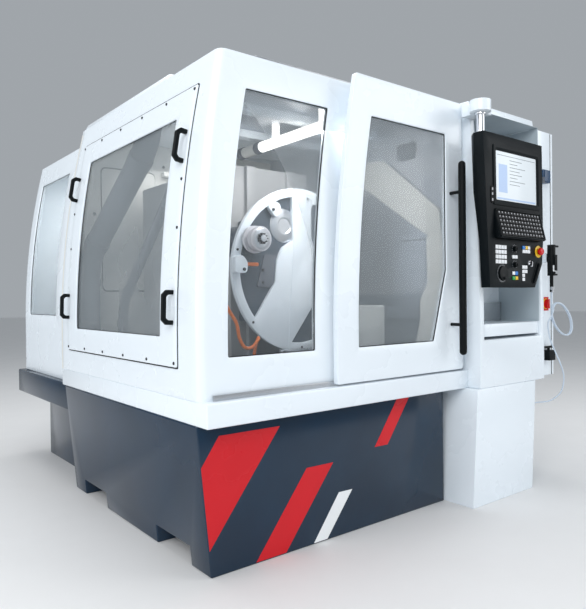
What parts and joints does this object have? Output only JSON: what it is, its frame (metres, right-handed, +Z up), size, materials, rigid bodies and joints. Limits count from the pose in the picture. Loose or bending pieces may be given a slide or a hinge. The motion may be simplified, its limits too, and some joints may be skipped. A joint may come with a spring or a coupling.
{
  "type": "tool and cutter grinder",
  "caption": "Enclosed floor-standing tool and cutter grinder with a sliding front door, side service window, swivelling control panel, console column and cabinet.",
  "frame": {"origin": "on the base's bottom face, midway between its two fork pockets", "axes": "+Z up, the operator stands on the -Y side, +X to the operator's right"},
  "size_m": [2.4382, 2.8265, 2.055],
  "materials": {
    "navy_paint": "gloss",
    "white_paint": "gloss",
    "inner_paint": "satin",
    "window": "clear",
    "black_plastic": "fine grain",
    "fixings": "black oxide",
    "machined_steel": "ground",
    "cast_grey": "painted",
    "spindle_alloy": "satin",
    "orange_plastic": "satin",
    "socket_blue": "satin",
    "lamp_white": "diffuse",
    "duct_grey": "ribbed",
    "post_chrome": "polished",
    "display": "backlit",
    "keyboard_dark": "satin",
    "key_pale": "satin",
    "signal_red": "gloss",
    "hose_pale": "smooth"
  },
  "bodies": {
    "machine": {"base_casting": "navy_paint", "rear_tank": "navy_paint", "skirt_frame": "white_paint", "front_panel": "white_paint", "front_window": "window", "door_header": "white_paint", "door_post": "white_paint", "left_wall": "white_paint", "service_panel": "white_paint", "service_window": "window", "grab_handles": "black_plastic", "service_screws": "fixings", "right_wall": "white_paint", "roof_panel": "white_paint", "roof_cover": "white_paint", "bulkhead": "inner_paint", "rear_left_wall": "white_paint", "rear_window": "window", "rear_shell": "white_paint", "rear_roof": "white_paint", "loader_tower": "spindle_alloy", "door_tracks": "fixings", "bed_casting": "cast_grey", "table_rails": "machined_steel", "head_column": "cast_grey", "way_cover": "white_paint", "work_lamp": "lamp_white", "exhaust_duct": "duct_grey", "conduit_duct": "duct_grey", "console_column": "white_paint", "console_pillar": "white_paint", "console_shelf": "inner_paint", "panel_post": "post_chrome", "post_bracket": "white_paint", "cabinet": "white_paint", "cabinet_plinth": "white_paint", "cabinet_cover": "white_paint", "socket_box": "socket_blue", "air_regulator": "black_plastic", "air_gun": "black_plastic", "air_hose": "hose_pale"},
    "front_door": {"door_shell": "white_paint", "door_window": "window", "door_pull": "black_plastic", "door_hangers": "fixings"},
    "table": {"work_table": "machined_steel", "workhead": "inner_paint"},
    "work_spindle": {"collet_chuck": "machined_steel", "tool_blank": "machined_steel"},
    "saddle": {"wheel_saddle": "inner_paint"},
    "head": {"wheel_head": "spindle_alloy", "round_guard": "white_paint", "coolant_pipe": "orange_plastic"},
    "wheel_spindle": {"wheel_arbor": "machined_steel", "grinding_wheels": "spindle_alloy"},
    "control_panel": {"panel_housing": "black_plastic", "screen": "display", "keyboard": "keyboard_dark", "panel_keys": "key_pale"},
    "stop_button": {"stop_button": "signal_red"},
    "jog_wheel": {"jog_wheel": "black_plastic"},
    "feed_knob": {"feed_knob": "black_plastic"},
    "speed_knob": {"speed_knob": "black_plastic"},
    "mains_switch": {"mains_switch": "signal_red"}
  },
  "joints": [
    {"name": "door_slide", "type": "slide", "parent": "machine", "child": "front_door", "axis": [-1, 0, 0], "range_m": [0, 0.56]},
    {"name": "table_slide", "type": "slide", "parent": "machine", "child": "table", "axis": [1, 0, 0], "range_m": [-0.13, 0.15]},
    {"name": "work_spin", "type": "hinge", "parent": "table", "child": "work_spindle", "pos_m": [0.232, -0.468, 0.9194], "axis": [1, 0, 0], "continuous": true},
    {"name": "head_lift", "type": "slide", "parent": "machine", "child": "saddle", "axis": [0, 0, 1], "range_m": [0, 0.15]},
    {"name": "head_turn", "type": "hinge", "parent": "saddle", "child": "head", "pos_m": [0.14077, -0.263, 1.19403], "axis": [0, 1, 0], "range_deg": [-40, 40]},
    {"name": "wheel_spin", "type": "hinge", "parent": "head", "child": "wheel_spindle", "pos_m": [-0.16002, -0.363, 1.33298], "axis": [0, 1, 0], "continuous": true},
    {"name": "panel_swivel", "type": "hinge", "parent": "machine", "child": "control_panel", "pos_m": [0.753, -0.938, 1.5], "axis": [0, 0, 1], "range_deg": [-90, 0]},
    {"name": "stop_press", "type": "slide", "parent": "control_panel", "child": "stop_button", "axis": [0, 1, -0.0087], "range_m": [0, 0.004], "stiffness_N_per_m": 1200},
    {"name": "jog_turn", "type": "hinge", "parent": "control_panel", "child": "jog_wheel", "pos_m": [0.85835, -0.98439, 1.16146], "axis": [0, 1, -0.0087], "continuous": true},
    {"name": "feed_turn", "type": "hinge", "parent": "control_panel", "child": "feed_knob", "pos_m": [0.9686, -0.98331, 1.28603], "axis": [0, 1, -0.0087], "range_deg": [-135, 135]},
    {"name": "speed_turn", "type": "hinge", "parent": "control_panel", "child": "speed_knob", "pos_m": [0.9686, -0.984, 1.20676], "axis": [0, 1, -0.0087], "range_deg": [-135, 135]},
    {"name": "mains_turn", "type": "hinge", "parent": "machine", "child": "mains_switch", "pos_m": [1.56, -0.813, 1], "axis": [0, 1, 0], "range_deg": [0, 90]}
  ]
}
